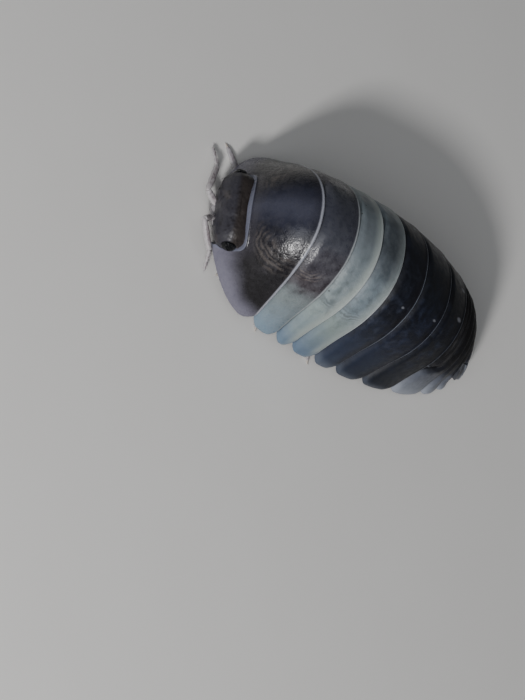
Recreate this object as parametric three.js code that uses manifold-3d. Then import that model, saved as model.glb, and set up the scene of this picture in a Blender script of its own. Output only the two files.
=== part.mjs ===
// A pill woodlouse at life size, standing on its fourteen legs with its head towards -Y and its left
// side towards +X. Millimetres, +Z up. The plates of the back are modelled over a floor at z = 0, and
// the last lines move the finished animal so that the origin is under the middle of its bounding box.
import * as THREE from "three";
import { mergeVertices } from "three/addons/utils/BufferGeometryUtils.js";
import Module from "manifold-3d";

const wasm = await Module();
wasm.setup();

// Body outline.
const HALF_WIDTH = 3.42; // widest, at the tips of the side plates
const WIDEST_Y = -1.3;
const FRONT_NARROWING = 0.031; // loss of half-width per square millimetre, ahead of the widest place
const TAIL_Y = 7.28; // the outline of the side plates closes here
const PLAN_POWER = 2.33;
const CROWN_Z = 4.43; // top of the back
const CROWN_Y = -1.27;
const FRONT_FALL = 0.009; // fall of the back per square millimetre, ahead of the crown
const REAR_FALL = 0.0385;
const TAIL_FALL = 0.12; // further fall of the back behind TAIL_FALL_Y
const TAIL_FALL_Y = 4.5;
const TIP_Z = 0.3; // the side plates hang to here
const ARCH_POWER = 2.2; // roundness of the cross-section
const FLARE = 0.62; // how far the side plates turn outwards
const FLARE_POWER = 5.9;

// Underside.
const BELLY_Z = 1.45; // beside the leg roots
const BELLY_BULGE = 0.14; // the middle of the belly hangs lower
const BELLY_SHARE = 0.62; // half-width of the belly over the body's
const SKIRT_START = 0.72; // share of the half-arch where the side plate leaves the belly
const TIP_EDGE = 0.34; // thickness of a side plate at its tip

// Overlap of the plates.
const GAP = 0.24; // air between two plates, along the body
const TAIL_GAP = 0.16; // the same between the narrow tail plates
const LIP = 0.11; // step down from a plate's rear rim to the next plate
const TUCK = 0.42; // how far a plate reaches in under the one ahead of it
const TUCK_DEPTH = 0.5; // depth of that slant, where the plate is thick enough
const TUCK_SHARE = 0.42; // and the most of the plate's thickness that it takes
const THIN_SHARE = 1.25; // thickness of a plate over the depth of its slant, where it ends on the back
const FRONT_CORNER = 0.025; // rounding of a side plate's corners, as shares of the half-arch
const REAR_CORNER = 0.05;
const RIM_SWEEP_POWER = 2.5;

// Rear rims of the seven trunk plates, on the back's midline, and how far each rim sweeps back at its tips.
const TRUNK_RIM_Y = [-4.43, -2.85, -1.64, -0.43, 0.98, 2.72, 4.12];
const TRUNK_SWEEP = [0.85, 0.46, 0.09, 0.05, -0.23, -0.56, -0.37];
// The same for the five tail plates: the first two are narrow strips with no side plates.
const TAIL_RIM_Y = [4.42, 4.72, 5.14, 5.56, 6.0];
const TAIL_SWEEP = [-0.07, -0.06, 0.2, 0.6, 0.7];
const STRIP_REACH = 0.58; // share of the half-arch that the narrow strips cover
const STRIP_END = [0.67, 0.82]; // where the third tail plate takes their place at the sides

// First trunk plate and the head that it holds.
const DOME_REAR_Y = -3.7; // the dome is widest here, and closes DOME_LENGTH ahead of it
const DOME_LENGTH = 2.61;
const DOME_POWER = 1.84;
const LOBE_LIFT = 0.08; // the lobes beside the head hang this much higher than the side plates
const HEAD = { x: 1.4, front: 0.72, back: 0.75, up: 0.62, down: 0.57, y: -5.85, z: 1.07, power: 2.5 };
const HEAD_GAP = 0.16;
const BROW = { rise: 0.05, angle: 0.86, spread: 0.16 }; // raised line between the head's top and face
const EYE = { x: 1.34, y: -5.98, z: 1.2, size: [0.19, 0.29, 0.27] };
const EYE_GAP = 0.07;

// Tail shield and tail feet, which fill the outline between the shield and the last tail plate.
const SHIELD_BASE_HALF = 0.98;
const SHIELD_WAIST_HALF = 0.62;
const SHIELD_END_HALF = 0.5;
const SHIELD_END_Y = 7.0;
const SHIELD_THICK = 0.5;
const TAIL_FOOT = { end: 7.1, reach: 0.94, thick: 0.34, gap: 0.12, lift: 0.05 };

// Legs.
const LEG_SIDES = 6;
const LEG_THICK = 0.24; // radius of the thickest article
const LEG_GAP = 0.12;
const FOOT_RADIUS = 0.1;

const SKIN = { dark: 0x34343f, blue: 0x3c4458, pale: 0xaeb6b8, bone: 0xb9b9b0, eye: 0x0c0f12 };

function material(color, roughness) {
  return new THREE.MeshStandardMaterial({ color, roughness, metalness: 0 });
}

function smoothStep(from, to, value) {
  return THREE.MathUtils.smoothstep(value, from, to);
}

// Share of the full arch at y, where the body closes ahead like a dome.
function domeShare(y) {
  const ahead = Math.max((DOME_REAR_Y - y) / DOME_LENGTH, 0);
  return (1 - ahead ** DOME_POWER) ** (1 / DOME_POWER);
}

// Half the body's width, at the tips of the side plates.
function halfWidth(y) {
  if (y <= WIDEST_Y) {
    const narrowed = HALF_WIDTH - FRONT_NARROWING * (Math.max(y, DOME_REAR_Y) - WIDEST_Y) ** 2;
    return narrowed * domeShare(y);
  }
  const along = Math.min((y - WIDEST_Y) / (TAIL_Y - WIDEST_Y), 0.995);
  return HALF_WIDTH * (1 - along ** PLAN_POWER) ** (1 / PLAN_POWER);
}

// Height of the back's midline.
function backHeight(y) {
  const full = Math.max(y, DOME_REAR_Y);
  const fall = (full < CROWN_Y ? FRONT_FALL : REAR_FALL) * (full - CROWN_Y) ** 2;
  const height = CROWN_Z - fall - TAIL_FALL * Math.max(full - TAIL_FALL_Y, 0) ** 2;
  return TIP_Z + (height - TIP_Z) * domeShare(y);
}

// Outer surface of the arch at a share s of the half-arch, -1 at the right tip and 1 at the left tip.
function archPoint(s, width, height, flare, y, tipZ = TIP_Z) {
  const angle = (Math.abs(s) * Math.PI) / 2;
  const power = 2 / ARCH_POWER;
  const x = (width - flare) * Math.sin(angle) ** power + flare * Math.abs(s) ** FLARE_POWER;
  const z = tipZ + (height - tipZ) * Math.max(Math.cos(angle), 0) ** power;
  return new THREE.Vector3(Math.sign(s) * x, y, z);
}

// Underside at the same share: the belly, then the inner wall of the side plate.
function underPoint(s, width, height, y, tipZ = TIP_Z) {
  const side = Math.abs(s);
  const share = Math.min((height - TIP_Z) / (CROWN_Z - TIP_Z), 1);
  const bellyZ = TIP_Z + (BELLY_Z - TIP_Z) * share;
  const bellyX = BELLY_SHARE * width;
  if (side <= SKIRT_START) {
    const across = side / SKIRT_START;
    return new THREE.Vector3(
      Math.sign(s) * bellyX * across,
      y,
      bellyZ - BELLY_BULGE * share * (1 - across ** 2),
    );
  }
  const down = (side - SKIRT_START) / (1 - SKIRT_START);
  return new THREE.Vector3(
    Math.sign(s) * THREE.MathUtils.lerp(bellyX, width - TIP_EDGE, down),
    y,
    THREE.MathUtils.lerp(bellyZ, tipZ + 0.03, down),
  );
}

// Closed solid through loops, each with an outer row and an inner row that run from right to left.
function loft(loops) {
  const row = loops[0].outer.length;
  const ring = 2 * row;
  const position = loops.flatMap(({ outer, inner }) =>
    [...outer, ...inner.slice().reverse()].flatMap((p) => p.toArray()),
  );
  const index = [];
  const quad = (a, b, c, d) => index.push(a, c, b, a, d, c);
  for (let k = 0; k + 1 < loops.length; k++) {
    for (let j = 0; j < ring; j++) {
      const next = (j + 1) % ring;
      quad(k * ring + j, (k + 1) * ring + j, (k + 1) * ring + next, k * ring + next);
    }
  }
  const last = (loops.length - 1) * ring;
  for (let j = 0; j + 1 < row; j++) {
    const under = ring - 1 - j;
    quad(j, j + 1, under - 1, under);
    quad(last + j, last + under, last + under - 1, last + j + 1);
  }
  return new THREE.BufferGeometry()
    .setAttribute("position", new THREE.Float32BufferAttribute(position, 3))
    .setIndex(index);
}

// A geometry as a solid that can be joined and cut.
function solidOf(geometry) {
  const bare = geometry.clone();
  for (const name of Object.keys(bare.attributes)) if (name !== "position") bare.deleteAttribute(name);
  const merged = mergeVertices(bare, 1e-4);
  const from = merged.index.array;
  const kept = [];
  for (let i = 0; i < from.length; i += 3) {
    const [a, b, c] = [from[i], from[i + 1], from[i + 2]];
    if (a !== b && b !== c && c !== a) kept.push(a, b, c);
  }
  return new wasm.Manifold(
    new wasm.Mesh({
      numProp: 3,
      vertProperties: new Float32Array(merged.attributes.position.array),
      triVerts: new Uint32Array(kept),
    }),
  );
}

// The largest closed surface of a solid, as a geometry.
function geometryOf(solid) {
  const largest = solid.decompose().reduce((a, b) => (b.volume() > a.volume() ? b : a));
  const mesh = largest.getMesh();
  return new THREE.BufferGeometry()
    .setAttribute("position", new THREE.BufferAttribute(mesh.vertProperties.slice(), 3))
    .setIndex(new THREE.BufferAttribute(mesh.triVerts.slice(), 1));
}

function joined(solids) {
  return solids.reduce((all, one) => all.add(one));
}

const ROW_SHARES = [0, 0.14, 0.28, 0.42, 0.55, 0.67, 0.78, 0.88, 1];
const FULL_ROW = [...ROW_SHARES.slice(1).reverse().map((s) => -s), ...ROW_SHARES];

// Rear rim of a plate, as the y of each share s.
function rimOf(middle, sweep) {
  return (s) => middle + sweep * Math.abs(s) ** RIM_SWEEP_POWER;
}

// One station of a plate at the share s of the half-arch: a point of its outer side and one of its
// underside. depth sinks the outer point, tucked moves it forwards with the slant of the overlap, and
// underY places the other, which lies just under the slant where thin is set.
function platePair(s, y, width, height, tipZ, { depth, tucked, underY, thin }) {
  const top = archPoint(s, width, height, FLARE * Math.sqrt(width / HALF_WIDTH), y, tipZ);
  const bottom = underPoint(s, width, height, y, tipZ);
  const inwards = bottom.clone().sub(top);
  const deepest = Math.min(TUCK_DEPTH, TUCK_SHARE * inwards.length());
  const tuck = (TUCK * deepest) / TUCK_DEPTH;
  inwards.normalize();
  if (thin) bottom.copy(top).addScaledVector(inwards, THIN_SHARE * deepest);
  top.addScaledVector(inwards, Math.min(depth, deepest));
  top.y -= tucked ? tuck : 0;
  bottom.y = underY - tuck;
  return { top, bottom };
}

// A plate between the rim ahead of it, with the gap behind that, and its own rear rim. reach(v) is the
// share of the half-arch that it covers at v, from 0 at its front to 1 at its rear rim. thinEnds is set
// where the plate ends on the back, and not in side plates.
function plateLoops(frontRim, rearRim, { reach, gap, thinEnds }) {
  const stations = [
    { v: 0, depth: TUCK_DEPTH, tucked: true, under: 0 },
    { v: 0, depth: LIP, tucked: false, under: 0.06 },
    { v: 0.3, depth: 0.02, tucked: false, under: 0.3 },
    { v: 0.65, depth: 0, tucked: false, under: 0.6 },
    { v: 0.92, depth: 0, tucked: false, under: 0.84 },
    { v: 1, depth: 0.03, tucked: false, under: 0.9 },
    { v: 1, depth: LIP, tucked: false, under: 0.95 },
    { v: 1, depth: TUCK_DEPTH, tucked: true, under: 1 },
  ];
  return stations.map(({ v, depth, tucked, under }) => {
    const pairs = FULL_ROW.map((share) => {
      const s = share * reach(v);
      const start = frontRim(s) + gap;
      const y = THREE.MathUtils.lerp(start, rearRim(s), v);
      const underY = THREE.MathUtils.lerp(start, rearRim(s), under);
      const thin = thinEnds && Math.abs(share) === 1;
      return platePair(s, y, halfWidth(y), backHeight(y), TIP_Z, { depth, tucked, underY, thin });
    });
    return { outer: pairs.map(({ top }) => top), inner: pairs.map(({ bottom }) => bottom) };
  });
}

function roundedReach(v) {
  return 1 - (v < 0.5 ? FRONT_CORNER : REAR_CORNER) * Math.abs(2 * v - 1) ** 3;
}

const parts = new THREE.Group();
function addNode(name, geometry, look) {
  const mesh = new THREE.Mesh(geometry, look);
  mesh.name = name;
  parts.add(mesh);
  return mesh;
}

// Superellipsoid with its own size on each side, from a unit sphere.
function roundedBlock(size, grow, segments) {
  const ball = new THREE.SphereGeometry(1, segments[0], segments[1]);
  const at = ball.attributes.position;
  const p = new THREE.Vector3();
  for (let i = 0; i < at.count; i++) {
    p.fromBufferAttribute(at, i).normalize();
    const sum = Math.abs(p.x) ** size.power + Math.abs(p.y) ** size.power + Math.abs(p.z) ** size.power;
    p.multiplyScalar(sum ** (-1 / size.power));
    at.setXYZ(
      i,
      p.x * (size.x + grow),
      size.y + p.y * ((p.y < 0 ? size.front : size.back) + grow),
      size.z + p.z * ((p.z < 0 ? size.down : size.up) + grow),
    );
  }
  return ball;
}

function eyeBall(side, grow) {
  const ball = new THREE.SphereGeometry(1, 12, 8);
  ball.scale(EYE.size[0] + grow, EYE.size[1] + grow, EYE.size[2] + grow);
  ball.translate(side * EYE.x, EYE.y, EYE.z);
  return ball;
}

function headGeometry() {
  const block = roundedBlock(HEAD, 0, [28, 18]);
  const at = block.attributes.position;
  for (let i = 0; i < at.count; i++) {
    const [x, y, z] = [at.getX(i), at.getY(i), at.getZ(i)];
    const up = Math.atan2(z - HEAD.z, HEAD.y - y);
    const near = Math.exp(-(((up - BROW.angle) / BROW.spread) ** 2));
    const brow = BROW.rise * near * (1 - (x / HEAD.x) ** 4);
    if (y < HEAD.y && z > HEAD.z) at.setXYZ(i, x, y - brow, z + brow * 0.7);
  }
  let head = solidOf(block);
  for (const side of [-1, 1]) head = head.subtract(solidOf(eyeBall(side, EYE_GAP)));
  return geometryOf(head);
}

// First plate: arches that shrink forwards like a dome, with the head's room cut out of it.
function firstPlate() {
  const rear = rimOf(TRUNK_RIM_Y[0], TRUNK_SWEEP[0]);
  const apex = DOME_REAR_Y - DOME_LENGTH;
  const along = [0.02, 0.07, 0.15, 0.26, 0.4, 0.56, 0.74, 0.92];
  const stations = along.map((t) => ({ t, depth: 0, tucked: false }));
  stations.push({ t: 1, depth: 0.03, tucked: false }, { t: 1, depth: LIP, tucked: false });
  stations.push({ t: 1, depth: TUCK_DEPTH, tucked: true });
  const loops = stations.map(({ t, depth, tucked }, k) => {
    const pairs = FULL_ROW.map((share) => {
      const s = share * (1 - (REAR_CORNER * Math.max(t - 0.7, 0)) / 0.3);
      const y = THREE.MathUtils.lerp(apex, rear(s), t);
      const tipZ = TIP_Z + LOBE_LIFT * (1 - smoothStep(0.15, 0.65, t));
      const underY = y - 0.03 * (stations.length - 1 - k) * t;
      return platePair(s, y, halfWidth(y), backHeight(y), tipZ, { depth, tucked, underY });
    });
    return { outer: pairs.map(({ top }) => top), inner: pairs.map(({ bottom }) => bottom) };
  });
  const block = solidOf(roundedBlock(HEAD, HEAD_GAP, [28, 18]));
  const room = [block, block.translate([0, -0.6, -0.1]), block.translate([0, -0.3, -0.05])];
  for (const side of [-1, 1]) room.push(solidOf(eyeBall(side, HEAD_GAP)));
  return geometryOf(solidOf(loft(loops)).subtract(joined(room)));
}

// Half the width of the tail shield.
function shieldHalf(y) {
  const t = THREE.MathUtils.clamp((y - TAIL_RIM_Y[4] - GAP) / (SHIELD_END_Y - TAIL_RIM_Y[4] - GAP), 0, 1);
  const waist = THREE.MathUtils.lerp(SHIELD_BASE_HALF, SHIELD_WAIST_HALF, smoothStep(0, 0.55, t));
  return THREE.MathUtils.lerp(waist, SHIELD_END_HALF, smoothStep(0.55, 1, t));
}

// Tail shield: a plate that narrows to a waist and ends in a blunt tip.
function tailShield() {
  const start = TAIL_RIM_Y[4] + GAP;
  const stations = [0, 0.12, 0.35, 0.6, 0.82, 0.95, 1];
  const across = [-1, -0.72, -0.4, 0, 0.4, 0.72, 1];
  const loops = stations.map((t) => {
    const y = THREE.MathUtils.lerp(start, SHIELD_END_Y, t);
    const half = shieldHalf(y) * (t === 1 ? 0.8 : 1);
    const top = backHeight(y) - (t === 0 || t === 1 ? LIP : 0);
    const outer = across.map((u) => new THREE.Vector3(u * half, y, top - 0.22 * (u * half) ** 2));
    const inner = across.map(
      (u) => {
        const low = Math.max(top - SHIELD_THICK - 0.1 * (u * half) ** 2, TIP_Z);
        return new THREE.Vector3(u * half * 0.9, y - 0.1, low);
      },
    );
    return { outer, inner };
  });
  return loft(loops);
}

// Place across the body at y, from the shield's side at share 0 to the outline of the tail at 1.
function footAcross(share, y) {
  return THREE.MathUtils.lerp(shieldHalf(y) + TAIL_FOOT.gap, TAIL_FOOT.reach * halfWidth(y), share);
}

// Front edge of a tail foot, behind the rear rim of the last tail plate.
function footFront(share) {
  const rim = rimOf(TAIL_RIM_Y[4], TAIL_SWEEP[4]);
  let y = TAIL_RIM_Y[4];
  for (let i = 0; i < 12; i++) y = rim(footAcross(share, y) / halfWidth(y)) + GAP;
  return y;
}

// Tail foot: a plate that lies on the outline of the tail, between the shield and the floor.
function tailFoot(side) {
  const shares = [0, 0.35, 0.7, 1];
  const fronts = shares.map(footFront);
  const loops = [0, 0.25, 0.55, 0.85, 1].map((t) => {
    const outer = [];
    const inner = [];
    for (const [k, share] of shares.entries()) {
      const y = THREE.MathUtils.lerp(fronts[k], TAIL_FOOT.end, t);
      const height = backHeight(y);
      const x = footAcross(share, y);
      const rise = (1 - Math.min(x / halfWidth(y), 1) ** ARCH_POWER) ** (1 / ARCH_POWER);
      const top = Math.max(TIP_Z + (height - TIP_Z) * rise, TIP_Z + TAIL_FOOT.lift);
      outer.push(new THREE.Vector3(side * x, y, top));
      const low = Math.max(top - TAIL_FOOT.thick, TIP_Z);
      inner.push(new THREE.Vector3(side * (x - TAIL_FOOT.thick * 0.6 * share), y, low));
    }
    return side > 0 ? { outer, inner } : { outer: outer.reverse(), inner: inner.reverse() };
  });
  return loft(loops);
}

// Spindle along +Z from 0 to length, thickest near its upper third.
function spindle(length, start, middle, end, sides) {
  const profile = [
    [0, -0.35 * start],
    [start * 0.8, 0],
    [middle, length * 0.45],
    [end, length * 0.92],
    [0, length + 0.35 * end],
  ].map(([r, z]) => new THREE.Vector2(r, z));
  return new THREE.LatheGeometry(profile, sides).rotateX(Math.PI / 2);
}

// A limb of spindles from joint to joint, joined into one solid.
function limb(joints, radii, sides) {
  const solids = [];
  for (let i = 0; i + 1 < joints.length; i++) {
    const [from, to] = [joints[i], joints[i + 1]];
    const along = to.clone().sub(from);
    const piece = spindle(along.length(), radii[i][0], radii[i][1], radii[i][2], sides);
    piece.applyQuaternion(
      new THREE.Quaternion().setFromUnitVectors(new THREE.Vector3(0, 0, 1), along.normalize()),
    );
    piece.translate(...from.toArray());
    solids.push(solidOf(piece));
  }
  return joined(solids);
}

const floor = solidOf(new THREE.BoxGeometry(30, 30, 2).translate(0, 0, -1));

// Leg of one trunk plate on one side: from its root under the belly inwards to the knee, and out to
// the foot. bend is the place of the joint half-way to the foot, where it isn't on the straight line.
function leg({ root, foot, bend }, side) {
  const [rootX, rootY] = root;
  const across = (SKIRT_START * rootX) / (BELLY_SHARE * halfWidth(rootY));
  const belly = underPoint(across, halfWidth(rootY), backHeight(rootY), rootY);
  const top = new THREE.Vector3(side * rootX, rootY, belly.z - LEG_GAP - LEG_THICK);
  const knee = new THREE.Vector3(side * (rootX - 0.72), rootY + (foot[1] - rootY) * 0.08, top.z - 0.32);
  const end = new THREE.Vector3(side * foot[0], foot[1], 0.02);
  const straight = knee.clone().lerp(end, 0.66).setZ(0.27);
  const half = bend ? new THREE.Vector3(side * bend[0], bend[1], bend[2]) : straight;
  const joints = [top, knee, knee.clone().lerp(half, 0.52).setZ((knee.z + half.z) * 0.47), half, end];
  const radii = [
    [0.2, 0.24, 0.2],
    [0.2, 0.24, 0.19],
    [0.19, 0.22, 0.16],
    [0.17, 0.16, FOOT_RADIUS],
  ];
  return geometryOf(limb(joints, radii, LEG_SIDES).subtract(floor));
}

const vector = (x, y, z) => new THREE.Vector3(x, y, z);

// Head, eyes and antennae.
addNode("head", headGeometry(), material(SKIN.dark, 0.5));
for (const [name, side] of [["left", 1], ["right", -1]]) {
  addNode("eye_" + name, eyeBall(side, 0), material(SKIN.eye, 0.25));
}
const ANTENNAE = {
  left: [
    vector(0.44, -6.66, 0.68),
    vector(0.7, -7.02, 0.84),
    vector(1.6, -6.32, 0.59),
    vector(2.11, -6.0, 0.12),
  ],
  right: [
    vector(-0.38, -6.6, 0.62),
    vector(-0.54, -6.92, 0.66),
    vector(-1.75, -6.45, 0.42),
    vector(-2.48, -6.56, 0.15),
  ],
};
for (const [name, joints] of Object.entries(ANTENNAE)) {
  const radii = [[0.15, 0.17, 0.15], [0.14, 0.17, 0.14], [0.13, 0.13, 0.06]];
  addNode("antenna_" + name, geometryOf(limb(joints, radii, 8)), material(SKIN.bone, 0.5));
}

// Trunk plates.
const trunkRims = TRUNK_RIM_Y.map((y, i) => rimOf(y, TRUNK_SWEEP[i]));
const TRUNK_LOOKS = [SKIN.dark, SKIN.dark, SKIN.pale, SKIN.pale, SKIN.blue, SKIN.blue, SKIN.blue];
addNode("pereonite_1", firstPlate(), material(TRUNK_LOOKS[0], 0.4));
for (let i = 1; i < 7; i++) {
  addNode(
    "pereonite_" + (i + 1),
    loft(plateLoops(trunkRims[i - 1], trunkRims[i], { reach: roundedReach, gap: GAP })),
    material(TRUNK_LOOKS[i], 0.4),
  );
}

// Tail plates.
const tailRims = TAIL_RIM_Y.map((y, i) => rimOf(y, TAIL_SWEEP[i]));
const stripFronts = [trunkRims[6], tailRims[0]];
for (let i = 0; i < 2; i++) {
  const strip = { reach: () => STRIP_REACH, gap: TAIL_GAP, thinEnds: true };
  const shape = loft(plateLoops(stripFronts[i], tailRims[i], strip));
  addNode("pleonite_" + (i + 1), shape, material(SKIN.blue, 0.4));
}
function thirdFront(s) {
  const beside = smoothStep(STRIP_END[0], STRIP_END[1], Math.abs(s));
  return THREE.MathUtils.lerp(tailRims[1](s), trunkRims[6](s), beside);
}
const lateFronts = [thirdFront, tailRims[2], tailRims[3]];
for (let i = 2; i < 5; i++) {
  addNode(
    "pleonite_" + (i + 1),
    loft(plateLoops(lateFronts[i - 2], tailRims[i], { reach: roundedReach, gap: TAIL_GAP })),
    material(SKIN.blue, 0.4),
  );
}
addNode("telson", tailShield(), material(SKIN.dark, 0.4));
for (const [name, side] of [["left", 1], ["right", -1]]) {
  addNode("uropod_" + name, tailFoot(side), material(SKIN.blue, 0.4));
}

// Legs: root and foot of each, from the front pair back. The two sides differ, as in a walking animal.
const LEG_ROOT_Y = [-4.5, -3.65, -2.5, -1.35, -0.05, 1.45, 2.8];
const LEG_ROOT_X = [1.65, 1.75, 1.8, 1.8, 1.8, 1.7, 1.5];
const FOOT = {
  left: [[2.0, -5.3], [3.21, -3.02], [2.95, -2.2], [3.35, -0.24], [2.95, 0.6], [2.9, 2.3], [2.4, 3.7]],
  right: [[3.0, -5.86], [2.95, -3.8], [3.0, -2.0], [2.95, -0.9], [3.0, 0.3], [2.9, 2.1], [2.45, 3.6]],
};
const BEND = { right: { 0: [2.2, -5.25, 0.15] }, left: {} };
for (const [name, side] of [["left", 1], ["right", -1]]) {
  FOOT[name].forEach((foot, i) => {
    const root = [LEG_ROOT_X[i], LEG_ROOT_Y[i]];
    const shape = leg({ root, foot, bend: BEND[name][i] }, side);
    addNode(`leg_${name}_${i + 1}`, shape, material(SKIN.bone, 0.5));
  });
}

// Origin under the middle of the bounding box.
const box = new THREE.Box3().setFromObject(parts);
const centre = box.getCenter(new THREE.Vector3());
parts.position.set(-centre.x, -centre.y, 0);

export default parts;
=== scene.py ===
import math
import random

import bpy
import numpy as np
from mathutils import Matrix, Vector


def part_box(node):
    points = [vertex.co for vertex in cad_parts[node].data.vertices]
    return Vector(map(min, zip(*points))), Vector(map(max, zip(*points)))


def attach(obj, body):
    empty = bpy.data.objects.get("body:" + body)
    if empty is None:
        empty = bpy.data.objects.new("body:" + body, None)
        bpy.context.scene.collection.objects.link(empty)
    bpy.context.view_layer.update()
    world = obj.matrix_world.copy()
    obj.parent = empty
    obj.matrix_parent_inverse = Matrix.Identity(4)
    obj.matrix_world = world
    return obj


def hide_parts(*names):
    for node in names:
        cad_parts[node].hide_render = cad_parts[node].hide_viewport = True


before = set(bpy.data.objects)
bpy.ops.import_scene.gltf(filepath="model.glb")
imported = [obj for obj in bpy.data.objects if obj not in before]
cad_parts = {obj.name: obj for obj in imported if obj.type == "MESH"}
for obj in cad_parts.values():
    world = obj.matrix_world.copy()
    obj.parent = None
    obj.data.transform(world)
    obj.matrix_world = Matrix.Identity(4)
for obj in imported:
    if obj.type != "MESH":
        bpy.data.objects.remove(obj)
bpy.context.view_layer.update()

MM = 0.001

# Body outline, as in the CAD source.
HALF_WIDTH = 3.42
WIDEST_Y = -1.3
FRONT_NARROWING = 0.031
TAIL_Y = 7.28
PLAN_POWER = 2.33
CROWN_Z = 4.43
CROWN_Y = -1.27
FRONT_FALL = 0.009
REAR_FALL = 0.0385
TAIL_FALL = 0.12
TAIL_FALL_Y = 4.5
TIP_Z = 0.3
ARCH_POWER = 2.2
FLARE = 0.62
FLARE_POWER = 5.9
SWEEP_POWER = 2.5
TRUNK_RIM_Y = [-4.43, -2.85, -1.64, -0.43, 0.98, 2.72, 4.12]
TRUNK_SWEEP = [0.85, 0.46, 0.09, 0.05, -0.23, -0.56, -0.37]
TAIL_RIM_Y = [4.42, 4.72, 5.14, 5.56, 6.0]
TAIL_SWEEP = [-0.07, -0.06, 0.2, 0.6, 0.7]
DOME_REAR_Y = -3.7
DOME_LENGTH = 2.61
DOME_POWER = 1.84
LOBE_LIFT = 0.08
EYE = {"x": 1.34, "y": -5.98, "z": 1.2}

# Plates.
TUCKED = 0.4  # length of a plate hidden under the one ahead of it
SINK = 0.17  # depth of the hidden part
SHELL_THICK = 0.11
BEAD = 0.022  # height of the smooth bead along a rear rim
BEAD_AT = 0.07  # its distance ahead of the edge
BEAD_WIDE = 0.055
RIM_CURL = 0.05  # length over which the edge curls in
TIP_CURL = 0.2
RAMP = (-0.1, 0.34)  # a plate rises from under the one ahead between these distances
CORNER = 0.4  # radius of a side plate's corners
TAIL_CORNER = 0.34
TIP_STRETCH = 7.0  # millimetres of surface for each unit of the half-arch, near its tip
HALF_ARCH_LENGTH = 5.3
PAD_FALL = 0.15  # how far a side plate falls away towards its neighbours
PAD_SHARE = (0.58, 0.86)  # shares of the half-arch between which it grows to a pad
STRIP_REACH = 0.74
STRIP_DIVE = (0.6, 0.74)  # shares where the narrow strips dive under the third tail plate
STRIP_SINK = 0.25


def eye_shift():
    """How far the CAD source moved the animal to put its origin under the middle of its box."""
    shift = Vector((0, 0, 0))
    for name, side in (("eye_left", 1), ("eye_right", -1)):
        low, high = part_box(name)
        middle = (Vector(low) + Vector(high)) / 2 / MM
        shift += (middle - Vector((side * EYE["x"], EYE["y"], EYE["z"]))) / 2
    shift.z = 0
    return shift


SHIFT = eye_shift()


def deselect():
    if bpy.context.mode != "OBJECT":
        bpy.ops.object.mode_set(mode="OBJECT")
    bpy.ops.object.select_all(action="DESELECT")


def choose(piece):
    deselect()
    piece.select_set(True)
    bpy.context.view_layer.objects.active = piece


def read_points(mesh):
    flat = np.empty(len(mesh.vertices) * 3)
    mesh.vertices.foreach_get("co", flat)
    return flat.reshape(-1, 3)


def write_points(piece, points):
    """Sets the vertices from points in millimetres on the animal's axes."""
    moved = (np.asarray(points) + np.array(SHIFT)) * MM
    piece.data.vertices.foreach_set("co", moved.astype(np.float32).ravel())
    piece.data.update()


def write_values(piece, **layers):
    """Keeps numbers for each vertex, for patterns that follow the surface."""
    for name, values in layers.items():
        layer = piece.data.attributes.new(name, "FLOAT", "POINT")
        layer.data.foreach_set("value", np.asarray(values, dtype=np.float32).ravel())


def apply_modifiers(piece):
    choose(piece)
    for modifier in list(piece.modifiers):
        bpy.ops.object.modifier_apply(modifier=modifier.name)


def soften(piece, degrees=40):
    choose(piece)
    bpy.ops.object.shade_smooth_by_angle(angle=math.radians(degrees))


def finish_piece(piece, finish, slot_name, *nodes):
    piece.data.materials.clear()
    piece.data.materials.append(finish)
    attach(piece, "root")
    if nodes:
        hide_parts(*nodes)


def smooth_step(low, high, value):
    t = np.clip((np.asarray(value, dtype=float) - low) / (high - low), 0, 1)
    return t * t * (3 - 2 * t)


def bump_at(centre, width, value):
    return np.exp(-(((value - centre) / width) ** 2))


# Shape of the body.
def dome_share(y):
    """Share of the full arch, where the body closes ahead like a dome."""
    ahead = np.clip((DOME_REAR_Y - y) / DOME_LENGTH, 0, 1)
    return (1 - ahead**DOME_POWER) ** (1 / DOME_POWER)


def half_width(y):
    along = np.clip((y - WIDEST_Y) / (TAIL_Y - WIDEST_Y), 0, 0.995)
    behind = HALF_WIDTH * (1 - along**PLAN_POWER) ** (1 / PLAN_POWER)
    full = np.maximum(y, DOME_REAR_Y)
    narrowed = (HALF_WIDTH - FRONT_NARROWING * (full - WIDEST_Y) ** 2) * dome_share(y)
    return np.where(y <= WIDEST_Y, narrowed, behind)


def back_height(y):
    full = np.maximum(y, DOME_REAR_Y)
    fall = np.where(full < CROWN_Y, FRONT_FALL, REAR_FALL) * (full - CROWN_Y) ** 2
    height = CROWN_Z - fall - TAIL_FALL * np.maximum(full - TAIL_FALL_Y, 0) ** 2
    return TIP_Z + (height - TIP_Z) * dome_share(y)


def arch(s, y, depth=0.0, width=None, height=None, tip_z=TIP_Z):
    """Points of the back at the share s of the half-arch and at y, sunk inwards by depth."""
    width = half_width(y) if width is None else width
    height = back_height(y) if height is None else height
    flare = FLARE * np.sqrt(width / HALF_WIDTH)
    side = np.clip(np.abs(s), 1e-4, 1 - 1e-4)
    angle = side * math.pi / 2
    power = 2 / ARCH_POWER
    x = (width - flare) * np.sin(angle) ** power + flare * side**FLARE_POWER
    z = tip_z + (height - tip_z) * np.cos(angle) ** power
    quarter = math.pi / 2
    slope_x = (width - flare) * power * np.sin(angle) ** (power - 1) * np.cos(angle) * quarter
    slope_x += flare * FLARE_POWER * side ** (FLARE_POWER - 1)
    slope_z = -(height - tip_z) * power * np.cos(angle) ** (power - 1) * np.sin(angle) * quarter
    length = np.hypot(slope_x, slope_z)
    x = x + depth * slope_z / length
    z = z - depth * slope_x / length
    sign = np.sign(np.where(s == 0, 1, s))
    return np.stack([sign * np.maximum(x, 0) * (np.abs(s) > 1e-6), y + 0 * x, z], -1)


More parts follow.
